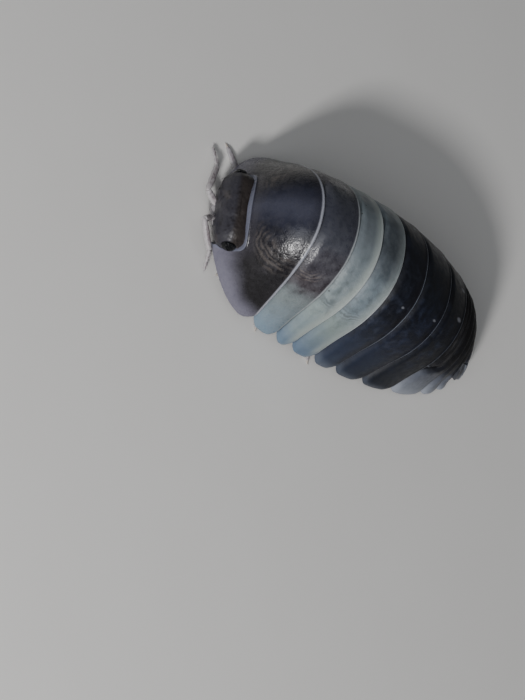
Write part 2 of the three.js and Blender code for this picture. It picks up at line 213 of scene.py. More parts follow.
def rim_of(middle, sweep):
    return lambda s: middle + sweep * np.abs(s) ** SWEEP_POWER


def grid_piece(name, columns, rows, centre, size):
    """Grid primitive at its size and place, with its cells as shares from -1 to 1 and from 0 to 1."""
    deselect()
    place = (Vector(centre) + SHIFT) * MM
    cells = {"x_subdivisions": columns, "y_subdivisions": rows}
    bpy.ops.mesh.primitive_grid_add(size=size * MM, location=place, **cells)
    piece = bpy.context.object
    piece.name = name
    bpy.ops.object.transform_apply(location=True, rotation=True, scale=True)
    flat = read_points(piece.data)
    low = flat.min(axis=0)
    high = flat.max(axis=0)
    across = 2 * (flat[:, 0] - low[0]) / (high[0] - low[0]) - 1
    along = (flat[:, 1] - low[1]) / (high[1] - low[1])
    return piece, across, along


def wall(piece, thickness):
    """Gives a sheet its thickness inwards and closes its edges."""
    solid = piece.modifiers.new("wall", "SOLIDIFY")
    solid.thickness = thickness * MM
    solid.offset = -1
    solid.use_even_offset = False
    apply_modifiers(piece)


def crowded(t, ends):
    """Shares from 0 to 1 that lie closer together near both ends."""
    return t - ends * np.sin(2 * math.pi * t) / (2 * math.pi)


def rounded(distance, radius):
    """How far a round corner draws in at this distance from the edge."""
    if not radius:
        return 0 * distance
    return radius * (1 - np.sqrt(1 - np.clip(1 - distance / radius, 0, 1) ** 2))


def dimples(s, ahead, rng, count, shares, places, depths):
    """Low dents where muscles are fixed inside, in rows on each flank."""
    depth = 0 * s
    for _ in range(count):
        near = bump_at(rng.uniform(*shares), rng.uniform(0.02, 0.05), np.abs(s))
        depth += rng.uniform(*depths) * near * bump_at(rng.uniform(*places), 0.09, ahead)
    return depth


def plate(name, front, rear, finish, slot_name, seed, corner=CORNER, reach=1.0, cells=(190, 44)):
    """A plate of the back between two rims, its front hidden under the plate ahead."""
    piece, a, t = grid_piece(name, cells[0], cells[1], (0, rear(0), CROWN_Z), 1)
    t = crowded(t, 0.45)
    share = a * reach
    start = front(share) - TUCKED
    y = start + (rear(share) - start) * t
    inset = rounded(y - front(share), corner) + rounded(rear(share) - y, corner)
    s = share * (1 - inset / TIP_STRETCH)
    start = front(s) - TUCKED
    y = start + (rear(s) - start) * t
    ahead = y - front(s)
    behind = rear(s) - y
    length = rear(s) - front(s)
    flank = np.abs(s)
    depth = SINK * (1 - smooth_step(*RAMP, ahead))
    depth += 0.035 * smooth_step(RIM_CURL, 0.0, behind)
    depth -= BEAD * bump_at(BEAD_AT, BEAD_WIDE, behind) * (1 - smooth_step(0.75, 0.95, flank))
    margin = (1 - np.abs(a)) * TIP_STRETCH
    if reach < 1:
        depth += STRIP_SINK * smooth_step(*STRIP_DIVE, flank)
    else:
        # Side plates swell like pads and fall away towards the notches between them.
        off = np.clip(np.abs(2 * ahead / length - 1), 0, 1)
        depth += PAD_FALL * smooth_step(*PAD_SHARE, flank) * (1 - np.sqrt(1 - 0.97 * off**2))
        depth += 0.07 * np.clip(1 - margin / TIP_CURL, 0, 1) ** 2
    places = (0.3 * length.min(), 0.75 * length.min())
    depth += dimples(s, ahead, random.Random(seed), 16, (0.12, 0.8), places, (0.003, 0.01))
    write_points(piece, arch(s, y, depth))
    write_values(piece, across=flank, ahead=ahead, behind=behind, margin=margin)
    wall(piece, SHELL_THICK)
    soften(piece)
    finish_piece(piece, finish, slot_name, name.replace("shell_", ""))


# Notch of the first plate, where the head sits: its rear edge bows back at the sides.
NOTCH_Y = -6.033
NOTCH_BOW = 0.2
NOTCH_SIDE = 1.2  # half-width of the notch at its foot, and how fast it widens upwards
NOTCH_SIDE_RISE = 0.375
NOTCH_FOOT_Z = 0.4
NOTCH_SHARP = 5.6  # its corners are rounded by about 2.4 / this
NOTCH_BEAD = (0.06, 0.08, 0.06)  # height of the bead along it, distance from the edge and width
NOTCH_GROOVE = (0.04, 0.26, 0.1)  # the same of the groove beside the bead


def dome_point(s, t, depth=0.0):
    """Points of the first plate at the share t from its apex to its rear rim."""
    rear = rim_of(TRUNK_RIM_Y[0], TRUNK_SWEEP[0])
    apex = DOME_REAR_Y - DOME_LENGTH
    y = apex + (rear(s) - apex) * t
    width = np.maximum(half_width(y), 0.01)
    height = back_height(y)
    tip_z = TIP_Z + LOBE_LIFT * (1 - smooth_step(0.15, 0.65, t))
    return arch(s, y, depth, width, height, np.minimum(tip_z, height - 0.01))


def notch_side(points):
    """Negative inside the notch, positive on the plate."""
    x, y, z = np.abs(points[..., 0]), points[..., 1], points[..., 2]
    over_rear = y - (NOTCH_Y + NOTCH_BOW * x**2)
    over_side = x - (NOTCH_SIDE + NOTCH_SIDE_RISE * (z - NOTCH_FOOT_Z))
    return np.logaddexp(NOTCH_SHARP * over_rear, NOTCH_SHARP * over_side) / NOTCH_SHARP


def notch_share(s):
    """Share t at which each line of the dome leaves the notch."""
    low = np.full_like(s, 0.001)
    high = np.full_like(s, 0.9)
    for _ in range(30):
        middle = (low + high) / 2
        inside = notch_side(dome_point(s, middle)) < 0
        low = np.where(inside, middle, low)
        high = np.where(inside, high, middle)
    return high


def first_plate(finish):
    piece, a, v = grid_piece("shell_pereonite_1", 240, 96, (0, TRUNK_RIM_Y[0], CROWN_Z), 1)
    v = crowded(v, 0.35)
    s = a * (1 - 0.05 * np.maximum((v - 0.7) / 0.3, 0) ** 2.4)
    edge = notch_share(s)
    t = edge + (1 - edge) * v
    base = dome_point(s, t)
    rear = rim_of(TRUNK_RIM_Y[0], TRUNK_SWEEP[0])
    ahead = np.linalg.norm(base - dome_point(s, edge), axis=-1)
    behind = rear(s) - base[:, 1]
    flank = np.abs(s)
    # Distance from the lobe's lower edge, as a share of the pale border's width there.
    margin = np.linalg.norm(base - dome_point(np.sign(s) + (s == 0), t), axis=-1)
    margin = margin / (0.5 + 0.3 * smooth_step(1.6, 0.3, base[:, 1] - NOTCH_Y))
    depth = 0.03 * smooth_step(RIM_CURL, 0.0, behind)
    depth -= BEAD * bump_at(BEAD_AT, BEAD_WIDE, behind) * (1 - 0.6 * smooth_step(0.75, 1.0, flank))
    bead = smooth_step(0.99, 0.85, flank)
    depth -= NOTCH_BEAD[0] * bump_at(*NOTCH_BEAD[1:], ahead) * bead
    depth += 0.05 * smooth_step(RIM_CURL, 0.0, ahead) * bead
    depth += NOTCH_GROOVE[0] * bump_at(*NOTCH_GROOVE[1:], ahead) * bead
    depth += 0.06 * np.clip(1 - (1 - np.abs(a)) * TIP_STRETCH / TIP_CURL, 0, 1) ** 2
    depth += dimples(s, ahead, random.Random(11), 26, (0.15, 0.75), (0.5, 1.6), (0.003, 0.009))
    write_points(piece, dome_point(s, t, depth))
    write_values(piece, across=flank, ahead=ahead, behind=behind, margin=margin)
    wall(piece, SHELL_THICK)
    soften(piece)
    finish_piece(piece, finish, "shell_dark", "pereonite_1")


# Colours and materials.
def linear(code):
    """sRGB hex to a linear colour with alpha."""
    parts = [int(code[i : i + 2], 16) / 255 for i in (0, 2, 4)]
    return tuple(c / 12.92 if c <= 0.04045 else ((c + 0.055) / 1.055) ** 2.4 for c in parts) + (1.0,)


def add(tree, kind, inputs=None, **settings):
    """Adds a node with its settings; an input is a value, a socket, or a node, for its first live output."""
    made = tree.nodes.new("ShaderNode" + kind)
    for name, value in settings.items():
        setattr(made, name, value)
    for socket, value in (inputs or {}).items():
        if isinstance(value, bpy.types.Node):
            value = next(output for output in value.outputs if output.enabled)
        if isinstance(value, bpy.types.NodeSocket):
            tree.links.new(value, made.inputs[socket])
        else:
            made.inputs[socket].default_value = value
    return made


def tint(tree, colour, tone, strength, *limits):
    """Lays a tone over a colour, where each value passes from its limit of none to its limit of full."""
    amount = strength
    for value, none, full in limits:
        near = add(tree, "MapRange", {0: value, 1: none, 2: full}, interpolation_type="SMOOTHSTEP")
        amount = add(tree, "Math", {0: near, 1: amount}, operation="MULTIPLY")
    return add(tree, "Mix", {0: amount, 6: colour, 7: linear(tone)}, data_type="RGBA")


def new_material(name):
    """An empty material, its node tree and the place of each point on it."""
    material = bpy.data.materials.new(name)
    material.use_nodes = True
    tree = material.node_tree
    tree.nodes.clear()
    return material, tree, add(tree, "TexCoord").outputs["Object"]


def per_metre(size):
    """Noise scale for features of this size in millimetres, on Object coordinates in metres."""
    return 1 / (size * MM)


# Sizes of the patterns in the cuticle.
CLOUD = 0.75
PATCH = 0.36
GRAIN = 0.16
CELL = 0.06
SPECKS_APART = 0.62
WANDER = 0.2  # how far, in shares of the half-arch, the borders of the tones wander
WAVY = 1.6  # how wavy the edge of a band is, as a share of its width and of WANDER
SLANT_AT = 0.6  # distance ahead of the rear rim at which a slanted border keeps its share
RIPPLE = 0.75  # how far the nested arcs bend off a circle
ARCS_START = (0.3, 0.55)
FLECK_SQUASH = 0.7
RELIEF_DEEP = 0.02


def cuticle(
    name, tones, edges, mottle, gloss=0.4, relief=0.3, slant=0.0, deep=0.0, crown=1.0, swirl=None, fleck=None
):
    """Calcified cuticle: hard, satin, finely pitted, its colour lying under a clear skin.

    tones are (share of the half-arch, colour) from the crown to the tip of the side plate. edges are
    (edge, colour, where it begins, where it is full, strength), in millimetres from that edge. mottle is
    (light colour, dark colour, light strength, dark strength). slant tilts the borders of the tones, deep is
    how far light enters, and crown is how much of the rear bands is left over the crown; less left there is
    painted shade on the top of the back. swirl is (middle, downward direction, colour, strength, reach,
    spacing) of nested arcs. fleck is the place of a pale nodule with a painted highlight on it, a share of
    the half-arch and millimetres ahead of the rear rim, and its half-width.
    """
    material, tree, place = new_material(name)
    layers = {}
    for layer in ("across", "ahead", "behind", "margin"):
        layers[layer] = add(tree, "Attribute", attribute_name=layer).outputs["Fac"]
    across = layers["across"]
    broad = add(tree, "TexNoise", {"Vector": place, "Scale": per_metre(CLOUD), "Detail": 4.0})
    patch = {"Vector": place, "Scale": per_metre(PATCH), "Detail": 4.0, "Distortion": 0.35}
    patch = add(tree, "TexNoise", patch)
    fine = add(tree, "TexNoise", {"Vector": place, "Scale": per_metre(GRAIN), "Detail": 3.0})
    wander = add(tree, "Math", {0: broad, 1: WANDER, 2: -WANDER / 2}, operation="MULTIPLY_ADD")
    tilt = add(tree, "Math", {0: layers["behind"], 1: slant, 2: -SLANT_AT * slant}, operation="MULTIPLY_ADD")
    share = add(tree, "Math", {0: across, 1: wander}, operation="ADD")
    share = add(tree, "Math", {0: share, 1: tilt}, operation="ADD")
    colour = add(tree, "ValToRGB", {0: share})
    colour.color_ramp.interpolation = "EASE"
    elements = colour.color_ramp.elements
    elements[0].color = linear(tones[0][1])
    elements[1].color = linear(tones[-1][1])
    for at, code in tones[1:-1]:
        elements.new(at).color = linear(code)

    # Cloudy patches of pigment, strongest on the flanks.
    flank = add(tree, "MapRange", {0: across, 1: 0.1, 2: 0.4}, interpolation_type="SMOOTHSTEP")
    tip = add(tree, "MapRange", {0: across, 1: 0.82, 2: 0.66}, interpolation_type="SMOOTHSTEP")
    flank = add(tree, "Math", {0: flank, 1: tip}, operation="MULTIPLY")
    spread = add(tree, "Math", {0: flank, 1: 0.75, 2: 0.25}, operation="MULTIPLY_ADD")
    light, dark, light_strength, dark_strength = mottle
    amount = add(tree, "Math", {0: spread, 1: light_strength}, operation="MULTIPLY")
    colour = tint(tree, colour, light, amount, (patch, 0.48, 0.68))
    amount = add(tree, "Math", {0: spread, 1: dark_strength}, operation="MULTIPLY")
    colour = tint(tree, colour, dark, amount, (patch, 0.54, 0.34))

    # Nested, broken arcs of pigment where a big flank muscle is fixed inside.
    if swirl:
        centre, down, tone, strength, reach, spacing = swirl
        parts = add(tree, "SeparateXYZ", {0: place})
        side = add(tree, "Math", {0: parts.outputs[0]}, operation="ABSOLUTE")
        folded = add(tree, "CombineXYZ", {0: side, 1: parts.outputs[1], 2: parts.outputs[2]})
        middle = (Vector(centre) + Vector((0, SHIFT.y, 0))) * MM
        offset = add(tree, "VectorMath", {0: folded, 1: middle}, operation="SUBTRACT")
        offset = add(tree, "VectorMath", {0: offset, "Scale": 1 / MM}, operation="SCALE")
        apart = add(tree, "VectorMath", {0: offset}, operation="LENGTH")
        below = add(tree, "VectorMath", {0: offset, 1: down}, operation="DOT_PRODUCT")
        bent = add(tree, "Math", {0: broad, 1: RIPPLE, 2: apart}, operation="MULTIPLY_ADD")
        wave = add(tree, "Math", {0: bent, 1: 2 * math.pi / spacing}, operation="MULTIPLY")
        wave = add(tree, "Math", {0: wave}, operation="SINE")
        ring = ((apart, reach, reach * 0.8), (apart, *ARCS_START), (below, 0.1, 0.6))
        colour = tint(tree, colour, tone, strength, (wave, -0.8, 0.8), (patch, 0.3, 0.55), *ring)

    # Fine grain of the pigment.
    colour = tint(tree, colour, light, 0.1, (fine, 0.35, 0.7))

    # Bands and rims along the edges, a broad one with a wavy border. Rear bands are thinned over the crown as
    # painted shade on the top of the back.
    left = {0: across, 1: 0.1, 2: 0.42, 3: crown, 4: 1.0}
    left = add(tree, "MapRange", left, interpolation_type="SMOOTHSTEP")
    for edge, tone, begins, full, strength in edges:
        wavy = add(tree, "Math", {0: wander, 1: WAVY * begins, 2: layers[edge]}, operation="MULTIPLY_ADD")
        if edge == "behind":
            strength = add(tree, "Math", {0: left, 1: strength}, operation="MULTIPLY")
        colour = tint(tree, colour, tone, strength, (wavy, begins, full))
    # A pale nodule, its spot painted brighter and drawn out along the body: partly a painted highlight.
    if fleck:
        at, rear, half = fleck
        side = {0: across, 1: HALF_ARCH_LENGTH, 2: -at * HALF_ARCH_LENGTH}
        side = add(tree, "Math", side, operation="MULTIPLY_ADD")
        back = {0: layers["behind"], 1: FLECK_SQUASH, 2: -rear * FLECK_SQUASH}
        back = add(tree, "Math", back, operation="MULTIPLY_ADD")
        offset = add(tree, "CombineXYZ", {0: side, 1: back})
        square = add(tree, "VectorMath", {0: offset, 1: offset}, operation="DOT_PRODUCT")
        colour = tint(tree, colour, "7b7d85", 0.75, (square, half**2, 0.0))

    # Scattered dark specks.
    dots = add(tree, "TexVoronoi", {"Vector": place, "Scale": per_metre(SPECKS_APART)})
    colour = tint(tree, colour, "1d1a1c", 0.75, (dots, 0.07, 0.035))

    # Relief: fine cells of the cuticle and its grain over soft wrinkles, stronger on the flanks.
    cells = {"Vector": place, "Scale": per_metre(CELL), "Smoothness": 0.4, "Randomness": 0.9}
    cells = add(tree, "TexVoronoi", cells, feature="SMOOTH_F1")
    height = 0.0
    for pattern, weight in ((cells, -0.35), (patch, 0.4), (fine, 1.3)):
        height = add(tree, "Math", {0: pattern, 1: weight, 2: height}, operation="MULTIPLY_ADD")
    strength = add(tree, "Math", {0: flank, 1: relief, 2: 0.15}, operation="MULTIPLY_ADD")
    bump = add(tree, "Bump", {"Strength": strength, "Distance": RELIEF_DEEP * MM, "Height": height})
    rough = add(tree, "MapRange", {0: fine, 1: 0.3, 2: 0.7, 3: gloss - 0.06, 4: gloss + 0.1})
    surface = {"Base Color": colour, "Roughness": rough, "IOR": 1.5, "Normal": bump}
    surface["Specular IOR Level"] = 0.4
    flesh = {"Subsurface Weight": deep, "Subsurface Radius": (0.9, 0.9, 1.0), "Subsurface Scale": 0.25 * MM}
    add(tree, "OutputMaterial", {"Surface": add(tree, "BsdfPrincipled", surface | flesh)})
    return material


# A dark line along the front of each plate from the second on, just behind the rim of the plate ahead:
# painted shade in the groove where the plates overlap.
GROOVE_PAINTED_SHADE = ("ahead", "0c0b0e", 0.11, 0.03, 0.75)

PLATE_FINISHES = [
    cuticle(
        "cuticle_plum_black",
        [(0, "434553"), (0.2, "2e303d"), (0.34, "20212b"), (0.5, "1b191e"), (0.7, "100e12"), (1, "0c0a0d")],
        [
            ("ahead", "3d3b43", 0.75, 0.1, 0.55),
            ("behind", "1b191d", 0.5, 0.05, 0.45),
            ("margin", "777584", 1.9, 0.2, 0.9),
            ("ahead", "747788", 0.15, 0.09, 0.75),
            ("behind", "9d9fa9", 0.13, 0.08, 0.9),
        ],
        ("464349", "100f15", 0.3, 0.45),
        swirl=((1.25, -4.95, 3.15), (0.49, 0.0, -0.87), "514b48", 0.75, 1.4, 0.2),
        gloss=0.26,
        relief=0.45,
    ),
    cuticle(
        "cuticle_plum_to_milk",
        [(0, "3a3c46"), (0.22, "44464f"), (0.4, "45434a"), (0.6, "433e43"), (0.71, "7c8688"), (1, "7d8f9d")],
        [
            ("behind", "272225", 0.5, 0.05, 0.25),
            ("margin", "748a9d", 0.5, 0.1, 0.6),
            ("behind", "9a9fa2", 0.13, 0.08, 0.95),
            GROOVE_PAINTED_SHADE,
        ],
        ("6d6d72", "1f1b20", 0.35, 0.4),
        swirl=((1.66, -4.0, 3.56), (0.7, 0.0, -0.72), "7d7570", 0.55, 0.95, 0.16),
        slant=-0.03,
        gloss=0.28,
        relief=0.6,
        deep=0.1,
    ),
    cuticle(
        "cuticle_milk_blue",
        [(0, "6b7379"), (0.3, "747e84"), (0.55, "818c90"), (0.75, "8d9a9a"), (1, "6c7e90")],
        [
            ("behind", "aab2ae", 0.5, 0.14, 0.75),
            ("margin", "647a90", 0.5, 0.08, 0.6),
            ("behind", "c2c8c8", 0.1, 0.06, 0.9),
            GROOVE_PAINTED_SHADE,
        ],
        ("a0a8a8", "4f5557", 0.3, 0.45),
        swirl=((2.03, -2.4, 3.3), (0.55, 0.0, -0.83), "555c5f", 0.6, 0.9, 0.15),
        slant=0.06,
        relief=0.45,
        deep=0.2,
        crown=0.8,
    ),
    # Plate 4: its dark crown tones and its rear band, mostly left off over the crown, are painted shade on
    # the top of the back.
    cuticle(
        "cuticle_milk_blue_shaded_crown",
        [(0, "3a3f45"), (0.2, "50575e"), (0.38, "707c84"), (0.6, "7c8991"), (0.75, "818e8c"), (1, "637487")],
        [
            ("behind", "a0a8a7", 0.55, 0.14, 0.7),
            ("margin", "5b6f86", 0.5, 0.08, 0.6),
            ("behind", "c3c9ca", 0.1, 0.06, 0.95),
            GROOVE_PAINTED_SHADE,
        ],
        ("98a1a4", "444a4e", 0.3, 0.45),
        swirl=((2.09, -1.2, 3.26), (0.55, 0.0, -0.83), "4c5357", 0.6, 0.9, 0.15),
        slant=0.06,
        relief=0.45,
        deep=0.2,
        crown=0.4,
    ),
    cuticle(
        "cuticle_slate_blue",
        [(0, "0f1118"), (0.4, "12151f"), (0.65, "171d2e"), (0.85, "20293d"), (1, "2f384a")],
        [
            ("behind", "100e12", 0.6, 0.1, 0.6),
            ("margin", "68717f", 0.45, 0.05, 0.5),
            ("behind", "79808d", 0.1, 0.06, 0.8),
            GROOVE_PAINTED_SHADE,
        ],
        ("363c4c", "0d0d11", 0.45, 0.5),
        fleck=(0.36, 0.46, 0.07),
        gloss=0.43,
        relief=0.3,
    ),
    # Plates 6 and 7 darken step by step towards the tail: partly their own colour, partly painted shade where
    # the light falls off along the body.
    cuticle(
        "cuticle_slate_blue_deep_shaded",
        [(0, "0e1015"), (0.4, "0f1320"), (0.65, "12182a"), (0.85, "182032"), (1, "202735")],
        [
            ("behind", "0d0c10", 0.7, 0.1, 0.6),
            ("margin", "5d6573", 0.35, 0.05, 0.4),
            ("behind", "6b7280", 0.1, 0.06, 0.75),
            GROOVE_PAINTED_SHADE,
        ],
        ("2b3246", "09090d", 0.45, 0.5),
        fleck=(0.3, 0.36, 0.08),
        gloss=0.44,
        relief=0.3,
    ),
    # Darker still than plate 6: partly its own colour, partly painted shade towards the tail.
    cuticle(
        "cuticle_slate_blue_tail",
        [(0, "0b0b0f"), (0.4, "0c0f19"), (0.65, "0c101b"), (0.85, "0e121d"), (1, "121620")],
        [
            ("behind", "0b0a0e", 0.7, 0.1, 0.6),
            ("margin", "565d6b", 0.32, 0.05, 0.4),
            ("behind", "555b67", 0.1, 0.06, 0.7),
            GROOVE_PAINTED_SHADE,
        ],
        ("242b3e", "08080b", 0.45, 0.5),
        fleck=(0.14, 0.34, 0.14),
        gloss=0.45,
        relief=0.3,
    ),
    # Tail plates, tail shield and tail feet: near-black over the crown, partly their own dark colour and
    # partly painted shade, as the tail lies in deep shade.
    cuticle(
        "cuticle_slate_brown",
        [(0, "0c0909"), (0.5, "0c0b0d"), (0.66, "181920"), (0.78, "585c67"), (1, "858a94")],
        [
            ("behind", "0b0a0c", 0.3, 0.05, 0.35),
            ("margin", "8f949f", 0.6, 0.08, 0.8),
            ("behind", "33353c", 0.08, 0.05, 0.4),
            GROOVE_PAINTED_SHADE,
        ],
        ("262831", "070709", 0.35, 0.35),
        gloss=0.45,
        relief=0.2,
    ),
]

SLOTS = ["shell_dark", "shell_dark", "shell_pale", "shell_pale", "shell_blue", "shell_blue", "shell_blue"]

first_plate(PLATE_FINISHES[0])
trunk_rims = [rim_of(y, sweep) for y, sweep in zip(TRUNK_RIM_Y, TRUNK_SWEEP)]
for i in range(1, 7):
    plate(f"shell_pereonite_{i + 1}", trunk_rims[i - 1], trunk_rims[i], PLATE_FINISHES[i], SLOTS[i], 20 + i)

# Tail plates: two narrow strips, then three with side plates.
tail_rims = [rim_of(y, sweep) for y, sweep in zip(TAIL_RIM_Y, TAIL_SWEEP)]


def third_front(s):
    mix = smooth_step(0.62, 0.78, np.abs(s))
    return tail_rims[1](s) * (1 - mix) + trunk_rims[6](s) * mix


tail_fronts = [trunk_rims[6], tail_rims[0], third_front, tail_rims[2], tail_rims[3]]
for i in range(5):
    plate(
        f"shell_pleonite_{i + 1}",
        tail_fronts[i],
        tail_rims[i],
        PLATE_FINISHES[7],
        "shell_blue",
        40 + i,
        corner=TAIL_CORNER if i > 1 else 0.0,
        reach=STRIP_REACH if i < 2 else 1.0,
        cells=(150, 30),
    )

# Tail shield and the plates of the tail feet beside it.
SHIELD_BASE_HALF = 0.98
SHIELD_WAIST_HALF = 0.62
SHIELD_END_HALF = 0.5
SHIELD_END_Y = 7.0


def shield_half(y):
    start = TAIL_RIM_Y[4] + 0.24  # as in the CAD source
    t = np.clip((y - start) / (SHIELD_END_Y - start), 0, 1)
    waist = SHIELD_BASE_HALF + (SHIELD_WAIST_HALF - SHIELD_BASE_HALF) * smooth_step(0, 0.55, t)
    return waist + (SHIELD_END_HALF - waist) * smooth_step(0.55, 1, t)


def tail_shield(finish):
    piece, u, v = grid_piece("shell_telson", 44, 40, (0, SHIELD_END_Y, 1.5), 1)
    v = crowded(v, 0.3)
    y = TAIL_RIM_Y[4] - 0.3 + (SHIELD_END_Y - TAIL_RIM_Y[4] + 0.3) * v
    blunt = 1 - 0.35 * np.clip((y - 6.78) / 0.25, 0, 1) ** 2.2
    half = shield_half(y) * blunt
    x = u * half
    y = y - 0.1 * u**2 * smooth_step(0.8, 1.0, v)
    top = back_height(y) - 0.22 * x**2
    top -= SINK * (1 - smooth_step(0.02, 0.3, y - TAIL_RIM_Y[4]))
    top -= 0.04 * smooth_step(0.86, 1.0, np.abs(u)) + 0.05 * smooth_step(0.93, 1.0, v)
    top -= 0.03 * bump_at(0.0, 0.25, u) * smooth_step(0.35, 0.8, v)
    write_points(piece, np.stack([x, y, top], -1))
    across = 0.6 + 0.36 * np.maximum(np.abs(u) * 0.5, v) ** 2
    margin = (1 - np.abs(u)) * half + (1 - v) * 0.8
    write_values(piece, across=across, ahead=y - TAIL_RIM_Y[4], behind=SHIELD_END_Y - y, margin=margin)
    wall(piece, 0.16)
    soften(piece)
    finish_piece(piece, finish, "shell_dark", "telson")


TAIL_FOOT_END = 7.1
TAIL_FOOT_REACH = 0.94
TAIL_FOOT_TUCK = 0.22


def tail_foot(name, side, finish):
    """A plate from under the last tail plate's rim to its own rounded rear edge."""
    piece, u, v = grid_piece(name, 36, 44, (side, 6.5, 1), 1)
    share = (u + 1) / 2
    front = TAIL_RIM_Y[4] + 0 * share
    for _ in range(12):
        inner = shield_half(front) + 0.05
        across = inner + (TAIL_FOOT_REACH * half_width(front) - inner) * share
        front = tail_rims[4](across / half_width(front))
    start = front - TAIL_FOOT_TUCK
    y = start + (TAIL_FOOT_END - 0.06 * share**2 - start) * v
    inner = shield_half(y) + 0.05
    outer = (TAIL_FOOT_REACH - 0.12 * smooth_step(0.4, 0.0, y - front)) * half_width(y)
    # Its rear corners are round.
    inset = rounded(TAIL_FOOT_END - y, 0.24)
    middle = (inner + outer) / 2
    x = middle + u * np.maximum((outer - inner) / 2 - inset, 0.02)
    ratio = np.clip(x / half_width(y), 0, 1)
    z = TIP_Z + (back_height(y) - TIP_Z) * (1 - ratio**ARCH_POWER) ** (1 / ARCH_POWER)
    ahead = y - front
    z -= SINK * (1 - smooth_step(-0.1, 0.2, ahead))
    z -= 0.05 * np.abs(u) ** 4 + 0.06 * smooth_step(0.85, 1.0, v) ** 2
    write_points(piece, np.stack([side * x, y, np.maximum(z, TIP_Z + 0.02)], -1))
    across = 0.76 + 0.24 * smooth_step(0.0, 0.25, ahead)
    margin = np.minimum((1 - np.abs(u)) * 0.5, TAIL_FOOT_END - y) + 0.05
    write_values(piece, across=across, ahead=ahead, behind=TAIL_FOOT_END - y + 0.1, margin=margin)
    if side < 0:
        piece.data.flip_normals()
    wall(piece, 0.15)
    soften(piece)
    finish_piece(piece, finish, "shell_blue", name.replace("shell_", ""))


tail_shield(PLATE_FINISHES[7])
tail_foot("shell_uropod_left", 1, PLATE_FINISHES[7])
tail_foot("shell_uropod_right", -1, PLATE_FINISHES[7])


# Head.
HEAD = {"x": 1.4, "front": 0.72, "back": 0.88, "up": 0.77, "down": 0.57, "y": -5.85, "z": 1.07}
HEAD_PROFILE_POWER = 2.3  # roundness seen from the side
HEAD_ACROSS_POWER = 4.0  # squareness of its ends
BROW = 0.86  # angle of the brow line over the front of the head
SOCKET = Vector((0.45, -6.48, 0.75))  # of the left antenna
EYE_SOCKET = Vector((0.2, 0.3, 0.27))


def cuticle_head():
    """Head cuticle: satin, brown behind the brow line and grey-plum on the face, closely pitted."""
    material, tree, place = new_material("cuticle_head_brown_plum")
    face = add(tree, "Attribute", attribute_name="face").outputs["Fac"]
    broad = add(tree, "TexNoise", {"Vector": place, "Scale": per_metre(0.5), "Detail": 5.0})
    fine = add(tree, "TexNoise", {"Vector": place, "Scale": per_metre(0.12), "Detail": 3.0})
    share = add(tree, "Math", {0: broad, 1: 0.25, 2: face}, operation="MULTIPLY_ADD")
    colour = tint(tree, linear("302a28"), "313038", 1.0, (share, 0.225, 1.025))
    colour = tint(tree, colour, "5b5450", 0.4, (broad, 0.54, 0.74))
    colour = tint(tree, colour, "1a1719", 0.6, (fine, 0.48, 0.3))
    cells = {"Vector": place, "Scale": per_metre(0.12), "Smoothness": 0.5}
    cells = add(tree, "TexVoronoi", cells, feature="SMOOTH_F1")
    height = add(tree, "Math", {0: broad, 1: 0.8}, operation="MULTIPLY")
    height = add(tree, "Math", {0: cells, 1: -0.6, 2: height}, operation="MULTIPLY_ADD")
    bump = add(tree, "Bump", {"Strength": 0.6, "Distance": 0.035 * MM, "Height": height})
    rough = add(tree, "MapRange", {0: fine, 1: 0.3, 2: 0.7, 3: 0.36, 4: 0.52})
    surface = {"Base Color": colour, "Roughness": rough, "IOR": 1.54, "Normal": bump}
    add(tree, "OutputMaterial", {"Surface": add(tree, "BsdfPrincipled", surface)})
    return material


def superellipsoid(points, size, grow=0.0):
    """Points of a cube's surface moved onto the head's rounded block."""
    unit = points / np.linalg.norm(points, axis=1, keepdims=True)
    profile = (np.abs(unit[:, 1:]) ** HEAD_PROFILE_POWER).sum(axis=1) ** (1 / HEAD_PROFILE_POWER)
    total = (profile**HEAD_ACROSS_POWER + np.abs(unit[:, 0]) ** HEAD_ACROSS_POWER) ** (1 / HEAD_ACROSS_POWER)
    unit = unit / total[:, None]
    x = unit[:, 0] * (size["x"] + grow)
    y = size["y"] + unit[:, 1] * (np.where(unit[:, 1] < 0, size["front"], size["back"]) + grow)
    z = size["z"] + unit[:, 2] * (np.where(unit[:, 2] < 0, size["down"], size["up"]) + grow)
    return np.stack([x, y, z], -1)


